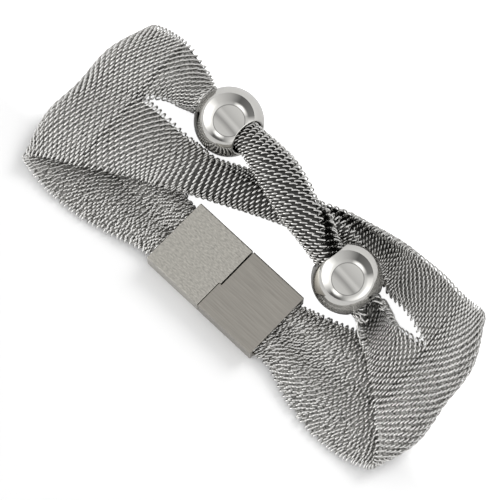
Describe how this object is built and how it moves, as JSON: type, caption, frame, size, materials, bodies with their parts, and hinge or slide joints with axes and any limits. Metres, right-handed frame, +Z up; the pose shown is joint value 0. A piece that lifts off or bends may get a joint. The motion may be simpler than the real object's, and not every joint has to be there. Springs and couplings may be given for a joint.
{
  "type": "mesh bracelet",
  "caption": "Wide steel mesh bracelet, split into crossing strands with polished balls and closed by a flat brushed clasp, lying folded flat.",
  "frame": {"origin": "middle of the clasp's outer face, which lies on the surface", "axes": "+X along the folded loop towards the right fold, +Y away from the near edge of the band, +Z up"},
  "size_m": [0.0952, 0.04, 0.0136],
  "materials": {
    "mesh_steel": "linked wire rings, satin",
    "polished_steel": "mirror polish",
    "brushed_steel": "fine lengthwise brushing"
  },
  "bodies": {
    "root": {"mesh_band": "mesh_steel", "ball_left": "polished_steel", "ball_right": "polished_steel", "clasp_left": "brushed_steel", "clasp_right": "brushed_steel"}
  },
  "joints": []
}
